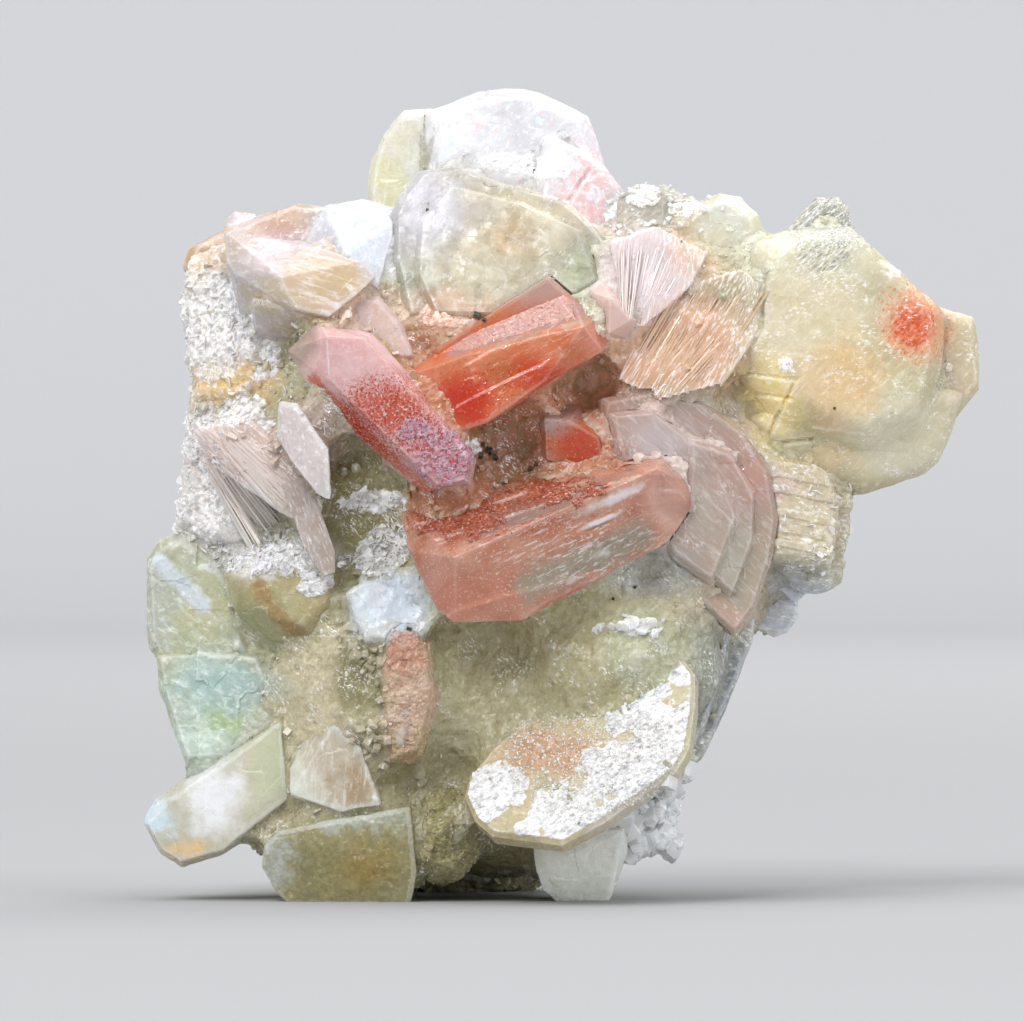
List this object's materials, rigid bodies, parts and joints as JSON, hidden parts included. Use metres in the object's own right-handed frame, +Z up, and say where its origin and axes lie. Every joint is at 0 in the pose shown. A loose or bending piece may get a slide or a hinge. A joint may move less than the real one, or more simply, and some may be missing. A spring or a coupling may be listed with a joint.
{
  "type": "apophyllite cluster",
  "caption": "Free-standing hand specimen of intergrown pale green, cream and clear tabular crystals with red-included blades, fibrous sheaves and frosted druse.",
  "frame": {"origin": "middle of the bounding box at the resting plane", "axes": "+Z up as it stands, +X to the right along its width, and the front faces -Y"},
  "size_m": [0.0831, 0.0452, 0.081],
  "materials": {
    "milky_white": "satin",
    "pale_clear": "gloss",
    "pale_pink": "gloss",
    "red_phantom": "gloss",
    "orange_crust": "matte",
    "pale_green": "satin",
    "amber": "satin",
    "cream": "satin",
    "fibrous": "satin",
    "granular": "matte"
  },
  "bodies": {
    "root": {"lower_red_blade": "red_phantom", "left_red_blade": "red_phantom", "upper_red_blade": "red_phantom", "small_pink_crystal": "pale_pink", "orange_crystal": "red_phantom", "hexagonal_plate": "cream", "bottom_wedge": "cream", "clear_druse": "milky_white", "edge_plates": "pale_green", "clear_fan": "pale_pink", "fan_sheaf": "fibrous", "long_sheaf": "fibrous", "ribbed_tip": "cream", "right_tip": "cream", "amber_lobe": "amber", "crest_plates": "amber", "right_lower_plates": "pale_green", "fringe_blades": "milky_white", "clear_upper_plate": "pale_clear", "dome_plate": "milky_white", "dome_side_lamella": "amber", "white_blade": "milky_white", "upper_left_blade": "cream", "mauve_plate": "pale_pink", "corner_plate": "pale_pink", "flank_plates": "cream", "orange_crust": "orange_crust", "spear_blade": "milky_white", "striated_blades": "fibrous", "sharp_blade": "cream", "pale_wedge": "pale_green", "salmon_column": "orange_crust", "golden_lens": "amber", "green_plates": "pale_green", "flake_patch": "milky_white", "bottom_block": "pale_green", "grainy_dome": "granular", "back_fan": "pale_clear", "back_left_blade": "milky_white", "back_low_blade": "pale_pink", "back_right_plates": "pale_green", "back_green_plate": "pale_green", "left_side_blade": "milky_white", "back_top_blade": "milky_white", "back_amber_plates": "amber", "back_low_plates": "pale_green", "back_foot": "granular", "intergrown_mass": "granular"}
  },
  "joints": []
}
